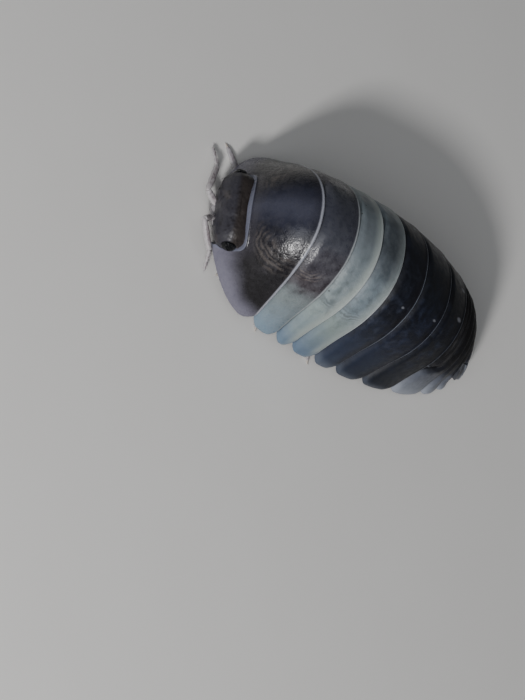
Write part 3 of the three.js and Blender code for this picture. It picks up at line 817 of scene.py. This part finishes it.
def head(finish):
    deselect()
    middle = (Vector((0, HEAD["y"], HEAD["z"])) + SHIFT) * MM
    bpy.ops.mesh.primitive_cube_add(size=2 * HEAD["x"] * MM, location=middle)
    piece = bpy.context.object
    piece.name = "head_capsule"
    bpy.ops.object.mode_set(mode="EDIT")
    bpy.ops.mesh.subdivide(number_cuts=43)
    bpy.ops.object.mode_set(mode="OBJECT")
    bpy.ops.object.transform_apply(location=False, rotation=True, scale=True)
    flat = read_points(piece.data)
    piece.location = (0, 0, 0)
    shaped = superellipsoid(flat, HEAD)
    out = superellipsoid(flat, HEAD, 1.0) - shaped
    out /= np.linalg.norm(out, axis=1, keepdims=True)
    x, y, z = shaped.T
    up = np.arctan2(z - HEAD["z"], HEAD["y"] - y)
    ahead = y < HEAD["y"]
    across = 1 - np.abs(x / HEAD["x"]) ** 6
    rise = np.zeros(len(x))
    rise += 0.015 * bump_at(BROW, 0.12, up) * across * ahead
    rise -= 0.01 * bump_at(BROW - 0.26, 0.14, up) * across * ahead
    # Shield of the brow: a low raised triangle under the middle of the brow line.
    shield = smooth_step(0.55, 0.35, np.abs(x) + 0.55 * np.maximum(1.5 - z, 0)) * smooth_step(0.95, 1.15, z)
    rise += 0.04 * shield * (y < HEAD["y"] - 0.4)
    for side in (1, -1):
        apart = np.linalg.norm(shaped - np.array((side * SOCKET.x, SOCKET.y, SOCKET.z)), axis=1)
        rise += 0.05 * bump_at(0.25, 0.06, apart) - 0.12 * smooth_step(0.22, 0.05, apart)
    # Upper lip and the line over it.
    rise += 0.05 * smooth_step(0.5, 0.3, np.abs(x)) * smooth_step(0.72, 0.6, z) * (y < HEAD["y"] - 0.35)
    # Sockets of the eyes.
    for side in (1, -1):
        offset = shaped - np.array((side * EYE["x"], EYE["y"], EYE["z"]))
        apart = np.linalg.norm(offset / np.array(EYE_SOCKET), axis=1)
        rise += 0.03 * bump_at(1.12, 0.14, apart)
    write_points(piece, shaped + out * rise[:, None])
    write_values(piece, face=smooth_step(BROW + 0.35, BROW - 0.25, up) * ahead)
    soften(piece, 60)
    finish_piece(piece, finish, "head_skin", "head")


head(cuticle_head())


# Templates: each is modelled once at unit size and then copied, placed and joined into the limbs.
def template(piece):
    """Vertices and faces of a finished template, whose own object is then removed."""
    points = read_points(piece.data)
    faces = [tuple(face.vertices) for face in piece.data.polygons]
    bpy.data.objects.remove(piece, do_unlink=True)
    return points, faces


START_LONG = 0.04  # length of the short cylinder that a bar is extruded from


def lathe(name, sides, start_radius, steps, levels):
    """A bar from 0 along Z, extruded in steps of (rise, radius) from a short cylinder, then smoothed."""
    deselect()
    place = {"depth": START_LONG, "location": (0, 0, START_LONG / 2)}
    bpy.ops.mesh.primitive_cylinder_add(vertices=sides, radius=start_radius, **place)
    piece = bpy.context.object
    piece.name = name
    bpy.ops.object.transform_apply(location=True, rotation=True, scale=True)
    bpy.ops.object.mode_set(mode="EDIT")
    bpy.ops.mesh.select_all(action="DESELECT")
    bpy.ops.object.mode_set(mode="OBJECT")
    for face in piece.data.polygons:
        face.select = face.normal.z > 0.9
    bpy.ops.object.mode_set(mode="EDIT")
    bpy.ops.mesh.select_mode(type="FACE")
    radius = start_radius
    for rise, wide in steps:
        bpy.ops.mesh.extrude_region_move(TRANSFORM_OT_translate={"value": (0, 0, rise)})
        grow = wide / radius
        bpy.ops.transform.resize(value=(grow, grow, 1))
        radius = wide
    bpy.ops.object.mode_set(mode="OBJECT")
    if levels:
        smooth = piece.modifiers.new("smooth", "SUBSURF")
        smooth.levels = levels
        smooth.render_levels = levels
        apply_modifiers(piece)
    return template(piece)


BASE_STEPS = [(0.03, 0.72), (0.07, 0.86), (0.2, 1.0)]
END_STEPS = [(0.26, 0.95), (0.22, 0.84), (0.12, 0.86), (0.04, 0.7)]
ARTICLE = lathe("article", 12, 0.5, BASE_STEPS + END_STEPS, 1)
CLAW = lathe("claw", 8, 0.8, [(0.1, 1.0), (0.25, 0.8), (0.25, 0.5), (0.25, 0.24), (0.11, 0.06)], 1)
SPINE = lathe("spine", 5, 0.8, [(0.5, 0.6), (0.46, 0.1)], 0)


def facet_template():
    deselect()
    bpy.ops.mesh.primitive_ico_sphere_add(subdivisions=3, radius=1, location=(0, 0, 0))
    return template(bpy.context.object)


FACET = facet_template()


def pose_between(start, end, wide, deep):
    """Matrix that lays a unit bar from start to end with these two radii."""
    start = Vector(start)
    along = Vector(end) - start
    turn = along.to_track_quat("Z", "Y").to_matrix().to_4x4()
    size = Matrix.Diagonal((wide, deep, along.length, 1))
    return Matrix.Translation(start) @ turn @ size


def joined(name, parts):
    """One mesh from placed copies: parts hold (template, matrix, tone at its start, tone at its end)."""
    points, faces, tones = [], [], []
    count = 0
    for (shape, polygons), matrix, first, last in parts:
        m = np.array(matrix)
        points.append(shape @ m[:3, :3].T + m[:3, 3])
        rise = shape[:, 2] / max(shape[:, 2].max(), 1e-6)
        tones.append(first + (last - first) * np.clip(rise, 0, 1))
        faces.extend(tuple(i + count for i in face) for face in polygons)
        count += len(shape)
    points = np.concatenate(points)
    points[:, 2] = np.maximum(points[:, 2], 0)  # whatever meets the floor is flat there
    mesh = bpy.data.meshes.new(name)
    mesh.from_pydata(points.tolist(), [], faces)
    piece = bpy.data.objects.new(name, mesh)
    bpy.context.scene.collection.objects.link(piece)
    write_points(piece, points)
    write_values(piece, tone=np.concatenate(tones))
    soften(piece, 50)
    return piece


def limb_cuticle(name, pale, tone, strength):
    """Thin limb cuticle: whitish and slightly see-through, brownish-purple flesh inside each article. The
    flesh tone is laid only on the upward-facing side, so the pale sides are painted light standing in for the
    bright see-through outline.
    """
    material, tree, place = new_material(name)
    along = add(tree, "Attribute", attribute_name="tone").outputs["Fac"]
    fine = add(tree, "TexNoise", {"Vector": place, "Scale": per_metre(0.12), "Detail": 4.0})
    # Upward-facing parts get the flesh tone and the sides stay pale: painted light for the see-through
    # outline.
    upward = add(tree, "SeparateXYZ", {0: add(tree, "TexCoord").outputs["Normal"]}).outputs[2]
    middle = ((along, 0.05, 0.35), (along, 0.97, 0.75), (upward, 0.25, 0.75))
    colour = tint(tree, linear(pale), tone, strength, (fine, 0.25, 0.7), *middle)
    bump = add(tree, "Bump", {"Strength": 0.4, "Distance": 0.02 * MM, "Height": fine})
    surface = {"Base Color": colour, "Roughness": 0.42, "IOR": 1.52, "Normal": bump}
    flesh = {"Subsurface Weight": 0.25, "Subsurface Radius": (1.0, 0.85, 0.85), "Subsurface Scale": 0.1 * MM}
    add(tree, "OutputMaterial", {"Surface": add(tree, "BsdfPrincipled", surface | flesh)})
    return material


LEG_FINISH = limb_cuticle("cuticle_leg_whitish_lilac", "a8a5a8", "675b62", 0.75)
ANTENNA_FINISH = limb_cuticle("cuticle_antenna_whitish", "b4b0b2", "65575d", 0.85)
CLAW_FINISH = limb_cuticle("claw_pale_amber", "b3aca4", "6b5546", 0.5)


def eye_finish():
    """Eye lenses: clear hard cuticle over black pigment, wet-looking."""
    material, tree, place = new_material("lens_cuticle_black")
    fine = add(tree, "TexNoise", {"Vector": place, "Scale": per_metre(0.1), "Detail": 3.0})
    colour = tint(tree, linear("060709"), "0f1115", 1.0, (fine, 0.35, 0.7))
    surface = {"Base Color": colour, "Roughness": 0.13, "IOR": 1.5, "Specular IOR Level": 0.35}
    add(tree, "OutputMaterial", {"Surface": add(tree, "BsdfPrincipled", surface)})
    return material


LENS = eye_finish()
EYE_SIZE = Vector((0.2, 0.29, 0.27))
LENSES_APART = 0.24
LENS_RADIUS = 0.033


def eye(name, side):
    """An oval mound with rows of small round lenses."""
    middle = Vector((side * (EYE["x"] + 0.03), EYE["y"] - 0.02, EYE["z"]))
    parts = [(FACET, Matrix.Translation(middle) @ Matrix.Diagonal((*EYE_SIZE, 1)), 0, 0)]
    outward = Vector((side * 0.8, -0.25, 0.55)).normalized()
    across = outward.cross(Vector((0, 0, 1))).normalized()
    upward = across.cross(outward)
    for row in range(-3, 4):
        for column in range(-3, 4):
            u = (column + 0.5 * (row % 2)) * LENSES_APART
            v = row * LENSES_APART * 0.87
            if u * u + v * v > 0.66:
                continue
            lens = (outward + across * u + upward * v).normalized()
            at = Matrix.Translation(middle + lens * EYE_SIZE)
            parts.append((FACET, at @ Matrix.Scale(LENS_RADIUS, 4), 0, 0))
    finish_piece(joined("eye_lenses_" + name, parts), LENS, "eye_glaze", "eye_" + name)


eye("left", 1)
eye("right", -1)


def bristles(parts, start, end, radius, rng, count, length, lean=0.5):
    """Short bristles on an article, leaning towards its end."""
    start = Vector(start)
    end = Vector(end)
    along = (end - start).normalized()
    side = along.cross(Vector((0.3, 0.2, 1))).normalized()
    for _ in range(count):
        t = rng.uniform(0.15, 0.95)
        out = Matrix.Rotation(rng.uniform(0, 2 * math.pi), 3, along) @ side
        root = start.lerp(end, t) + out * radius * 0.75
        tip = root + (out + along * lean).normalized() * length * rng.uniform(0.7, 1.2)
        parts.append((SPINE, pose_between(root, tip, 0.008, 0.008), 0, 0))


# Joints from the head outwards: root, base, elbow, bend and tip.
LEFT_ANTENNA = [(0.2, -6.2, 0.48), (0.4, -6.58, 0.64), (0.7, -7.02, 0.84)]
LEFT_ANTENNA += [(1.6, -6.32, 0.59), (2.11, -6.0, 0.12)]
RIGHT_ANTENNA = [(-0.1, -6.0, 0.48), (-0.24, -6.34, 0.56), (-0.54, -6.92, 0.66)]
RIGHT_ANTENNA += [(-1.75, -6.45, 0.42), (-2.48, -6.56, 0.15)]


def antenna(name, joints, seed):
    """The visible articles of the stalk and a lash of two, with bristles."""
    rng = random.Random(seed)
    root, base, elbow, bend, tip = (Vector(j) for j in joints)
    stops = [
        (root, base, 0.12),
        (base, elbow, 0.135),
        (elbow, bend, 0.13),
        (bend, bend.lerp(tip, 0.42), 0.085),
        (bend.lerp(tip, 0.42), tip, 0.065),
    ]
    parts = []
    for start, end, radius in stops:
        reach = (end - start).normalized() * radius * 0.35
        parts.append((ARTICLE, pose_between(start - reach, end + reach * 0.3, radius, radius), 0, 1))
        bristles(parts, start, end, radius, rng, 16, 0.07)
    for spread in (-0.25, 0, 0.25):
        end = tip + (tip - bend).normalized() * 0.1 + Vector((spread * 0.1, spread * 0.1, 0.01))
        parts.append((SPINE, pose_between(tip, end, 0.012, 0.012), 0, 0))
    piece = joined("feeler_" + name, parts)
    finish_piece(piece, ANTENNA_FINISH, "limb_skin", "antenna_" + name)


antenna("left", LEFT_ANTENNA, 5)
antenna("right", RIGHT_ANTENNA, 6)


# Legs, from the joints of the CAD source.
BELLY_Z = 1.45
BELLY_BULGE = 0.14
BELLY_SHARE = 0.62
BELLY_EDGE = 0.73
SKIRT_START = 0.72
LEG_ROOT_Y = [-4.5, -3.65, -2.5, -1.35, -0.05, 1.45, 2.8]
LEG_ROOT_X = [1.65, 1.75, 1.8, 1.8, 1.8, 1.7, 1.5]
FOOT = {
    "left": [(2.0, -5.3), (3.21, -3.02), (2.95, -2.2), (3.35, -0.24), (2.95, 0.6), (2.9, 2.3), (2.4, 3.7)],
    "right": [(3.0, -5.86), (2.95, -3.8), (3.0, -2.0), (2.95, -0.9), (3.0, 0.3), (2.9, 2.1), (2.45, 3.6)],
}
RIGHT_BEND = (2.2, -5.25, 0.15)  # the raised bend of the first right leg
TOP_DOWN = 0.22  # how far the top of a leg and its knee lie under the belly skin
KNEE_DOWN = 0.68
KNEE_IN = 0.72
SHIN_Z = 0.27  # height of the joint above the last long article
SPINES = 7


def belly_height(share_across, y):
    share = np.minimum((back_height(y) - TIP_Z) / (CROWN_Z - TIP_Z), 1)
    return TIP_Z + (BELLY_Z - TIP_Z) * share - BELLY_BULGE * share * (1 - share_across**2)


def leg(name, side, index):
    rng = random.Random(100 + index * 2 + (side > 0))
    root_x, root_y = LEG_ROOT_X[index], LEG_ROOT_Y[index]
    across = root_x / (BELLY_SHARE * float(half_width(root_y)))
    belly = float(belly_height(across, root_y))
    foot_x, foot_y = FOOT[name][index]
    top = Vector((side * root_x, root_y, belly - TOP_DOWN))
    knee = Vector((side * (root_x - KNEE_IN), root_y + (foot_y - root_y) * 0.08, belly - KNEE_DOWN))
    end = Vector((side * foot_x, foot_y, 0.02))
    half = knee.lerp(end, 0.66)
    half.z = SHIN_Z
    thick = 1.0
    if name == "right" and index == 0:
        half = Vector(RIGHT_BEND) * Vector((side, 1, 1))
        thick = 1.25
    merus = knee.lerp(half, 0.52)
    merus.z = (knee.z + half.z) * 0.47
    toe = half.lerp(end, 0.8)
    stops = [
        (top, knee, 0.17, 0.15),
        (knee, knee.lerp(merus, 0.5), 0.14, 0.13),
        (knee.lerp(merus, 0.5), merus, 0.13, 0.12),
        (merus, half, 0.125, 0.105),
        (half, toe, 0.1 * thick, 0.085 * thick),
    ]
    parts = [(ARTICLE, pose_between(top + Vector((side * 0.18, 0, 0.2)), top, 0.24, 0.22), 0, 1)]
    for start, stop, wide, deep in stops:
        reach = (stop - start).normalized() * wide * 0.4
        parts.append((ARTICLE, pose_between(start - reach, stop + reach * 0.4, wide, deep), 0, 1))
        bristles(parts, start, stop, wide, rng, 12, 0.08)
    # Stout spines under the last two long articles.
    for start, stop, wide, _ in stops[3:]:
        along = (stop - start).normalized()
        under = (Vector((0, 0, -1)) + Vector((0, -0.5, 0))).cross(along).cross(along) * -1
        under.normalize()
        for k in range(SPINES):
            root = start.lerp(stop, 0.2 + 0.11 * k) + under * wide * 0.6
            tip = root + (under + along * 0.9).normalized() * 0.13
            tip.z = max(tip.z, 0.02)
            parts.append((SPINE, pose_between(root, tip, 0.014, 0.014), 0, 0))
    # Last article, which carries the claw.
    claw_root = toe.lerp(end, 0.35)
    start = toe - (end - toe) * 0.15
    parts.append((ARTICLE, pose_between(start, claw_root, 0.07 * thick, 0.065 * thick), 0, 1))
    piece = joined(f"leg_articles_{name}_{index + 1}", parts)
    finish_piece(piece, LEG_FINISH, "limb_skin", f"leg_{name}_{index + 1}")
    along = (end - toe).normalized()
    tip = Vector((end.x + along.x * 0.05, end.y + along.y * 0.05, 0.003))
    claws = [(CLAW, pose_between(claw_root - along * 0.03, tip, 0.06, 0.06), 0, 1)]
    claws.append((SPINE, pose_between(claw_root, tip + Vector((0.02, 0.03, 0.05)), 0.015, 0.015), 0, 1))
    finish_piece(joined(f"claw_{name}_{index + 1}", claws), CLAW_FINISH, "limb_skin")


for name, side in (("left", 1), ("right", -1)):
    for index in range(7):
        leg(name, side, index)


# Belly skin, with a low fold at each ring of the body, and the gill plates under the tail.
def skin_finish():
    """Belly skin: thin, pale grey and slightly moist, with fine cross wrinkles."""
    material, tree, place = new_material("soft_skin_pale_grey")
    broad = add(tree, "TexNoise", {"Vector": place, "Scale": per_metre(0.6), "Detail": 5.0})
    stretched = add(tree, "Mapping", {0: place, 3: (0.4, 2.5, 1.0)})
    fold = add(tree, "TexNoise", {"Vector": stretched, "Scale": per_metre(0.25), "Detail": 3.0})
    colour = tint(tree, linear("6f6c70"), "8f9090", 1.0, (broad, 0.35, 0.7))
    bump = add(tree, "Bump", {"Strength": 0.5, "Distance": 0.04 * MM, "Height": fold})
    surface = {"Base Color": colour, "Roughness": 0.45, "IOR": 1.42, "Normal": bump}
    flesh = {"Subsurface Weight": 0.3, "Subsurface Scale": 0.15 * MM}
    add(tree, "OutputMaterial", {"Surface": add(tree, "BsdfPrincipled", surface | flesh)})
    return material


SKIN = skin_finish()


def belly():
    piece, u, v = grid_piece("belly_skin", 60, 150, (0, 0, BELLY_Z), 1)
    y = -5.5 + (6.55 + 5.5) * v
    width = half_width(y)
    across = u / SKIRT_START
    inner = np.minimum(np.abs(across), 1)
    x = BELLY_SHARE * width * inner
    z = belly_height(inner, y)
    down = np.clip((np.abs(u) - SKIRT_START) / (1 - SKIRT_START), 0, 1)
    x = x + (BELLY_EDGE - BELLY_SHARE) * width * down
    for rim in TRUNK_RIM_Y[:-1] + TAIL_RIM_Y:
        z = z + 0.07 * bump_at(rim - 0.3, 0.09, y) * (1 - down)
    z = z + 0.4 * smooth_step(0.94, 1.0, v) * (1 - down * 0.5)
    write_points(piece, np.stack([np.sign(u) * x, y, z], -1))
    piece.data.flip_normals()
    wall(piece, 0.08)
    soften(piece)
    finish_piece(piece, SKIN, "limb_skin")


def gill_plates():
    parts = []
    for i in range(5):
        y = 3.95 + 0.5 * i
        for side in (1, -1):
            z = float(belly_height(0.3, y + 0.2)) - 0.1 - 0.03 * (4 - i)
            middle = Matrix.Translation((side * (0.5 - 0.03 * i), y, z))
            back = Matrix.Rotation(math.radians(-14), 4, "X")
            out = Matrix.Rotation(math.radians(side * 8), 4, "Y")
            size = Matrix.Diagonal((0.46 - 0.03 * i, 0.42, 0.06, 1))
            parts.append((FACET, middle @ back @ out @ size, 0, 0))
    finish_piece(joined("gill_plates", parts), SKIN, "limb_skin")


def mouthparts():
    """Upper lip, jaws and the two flat plates that cover them from below."""
    parts = []
    parts.append((FACET, Matrix.Translation((0, -6.36, 0.5)) @ Matrix.Diagonal((0.26, 0.14, 0.12, 1)), 0, 0))
    for side in (1, -1):
        jaw = Matrix.Translation((side * 0.34, -6.26, 0.46)) @ Matrix.Rotation(side * 0.5, 4, "Z")
        parts.append((FACET, jaw @ Matrix.Diagonal((0.2, 0.16, 0.13, 1)), 0, 0))
        cover = Matrix.Translation((side * 0.2, -5.92, 0.42)) @ Matrix.Rotation(side * 0.15, 4, "Z")
        parts.append((FACET, cover @ Matrix.Diagonal((0.2, 0.42, 0.09, 1)), 0, 0))
    finish_piece(joined("mouthparts", parts), LEG_FINISH, "head_skin")


belly()
gill_plates()
mouthparts()


# Plain pale floor.
def floor():
    deselect()
    bpy.ops.mesh.primitive_plane_add(size=2, location=(0, 0, 0))
    ground = bpy.context.object
    ground.name = "floor"
    material, tree, place = new_material("matt_card_pale")
    fine = add(tree, "TexNoise", {"Vector": place, "Scale": per_metre(4), "Detail": 3.0})
    colour = tint(tree, linear("f1efec"), "f5f4f1", fine)
    surface = {"Base Color": colour, "Roughness": 0.9, "IOR": 1.45}
    add(tree, "OutputMaterial", {"Surface": add(tree, "BsdfPrincipled", surface)})
    ground.data.materials.append(material)


floor()

# Camera, fitted to the rims and side plate tips: direction, turn about the view, scale and centre.
CAMERA_TURN = 0.5763
CAMERA_RISE = 0.7262
CAMERA_ROLL = 1.3175
CAMERA_FAR = 170.0
PIXELS_PER_MM = 27.4279
AXIS_AT = (324.167, 282.438)
IMAGE = (525, 700)
SENSOR = 36.0


def set_camera():
    toward = Vector(
        (
            math.sin(CAMERA_TURN) * math.cos(CAMERA_RISE),
            -math.cos(CAMERA_TURN) * math.cos(CAMERA_RISE),
            math.sin(CAMERA_RISE),
        )
    )
    level = (-toward).cross(Vector((0, 0, 1))).normalized()
    upright = level.cross(-toward)
    right = math.cos(CAMERA_ROLL) * level + math.sin(CAMERA_ROLL) * upright
    up = -math.sin(CAMERA_ROLL) * level + math.cos(CAMERA_ROLL) * upright
    eye_at = toward * CAMERA_FAR
    across = (IMAGE[0] / 2 - AXIS_AT[0]) / PIXELS_PER_MM
    down = (IMAGE[1] / 2 - AXIS_AT[1]) / PIXELS_PER_MM
    aim = right * across - up * down
    back = (eye_at - aim).normalized()
    right = (right - back * right.dot(back)).normalized()
    up = back.cross(right)
    turn = Matrix((right, up, back)).transposed()
    data = bpy.data.cameras.new("camera")
    camera = bpy.data.objects.new("camera", data)
    bpy.context.scene.collection.objects.link(camera)
    camera.matrix_world = Matrix.Translation((eye_at + SHIFT) * MM) @ turn.to_4x4()
    data.sensor_width = SENSOR
    data.lens = PIXELS_PER_MM * CAMERA_FAR / IMAGE[1] * SENSOR
    data.clip_start = 0.01
    data.clip_end = 5
    bpy.context.scene.camera = camera


set_camera()


def soft_light(name, direction, distance, size, power, colour):
    data = bpy.data.lights.new(name, "AREA")
    data.shape = "DISK"
    data.size = size
    data.energy = power
    data.color = colour
    lamp = bpy.data.objects.new(name, data)
    direction = Vector(direction).normalized()
    lamp.location = direction * distance
    lamp.rotation_euler = direction.to_track_quat("Z", "Y").to_euler()
    bpy.context.scene.collection.objects.link(lamp)


# The strongest light comes from the lower left of the picture, as in the photo.
soft_light("key", (0.78, -0.62, 0.48), 0.12, 0.013, 0.1, (1.0, 0.99, 0.985))
soft_light("fill", (0.45, -0.66, 0.62), 0.4, 0.2, 0.3, (0.95, 0.97, 1.0))
soft_light("top", (0.1, -0.1, 1.2), 0.4, 0.3, 0.04, (0.95, 0.97, 1.0))

world = bpy.data.worlds.new("studio")
bpy.context.scene.world = world
world.use_nodes = True
world.node_tree.nodes["Background"].inputs["Color"].default_value = (0.85, 0.88, 0.92, 1.0)
world.node_tree.nodes["Background"].inputs["Strength"].default_value = 0.1
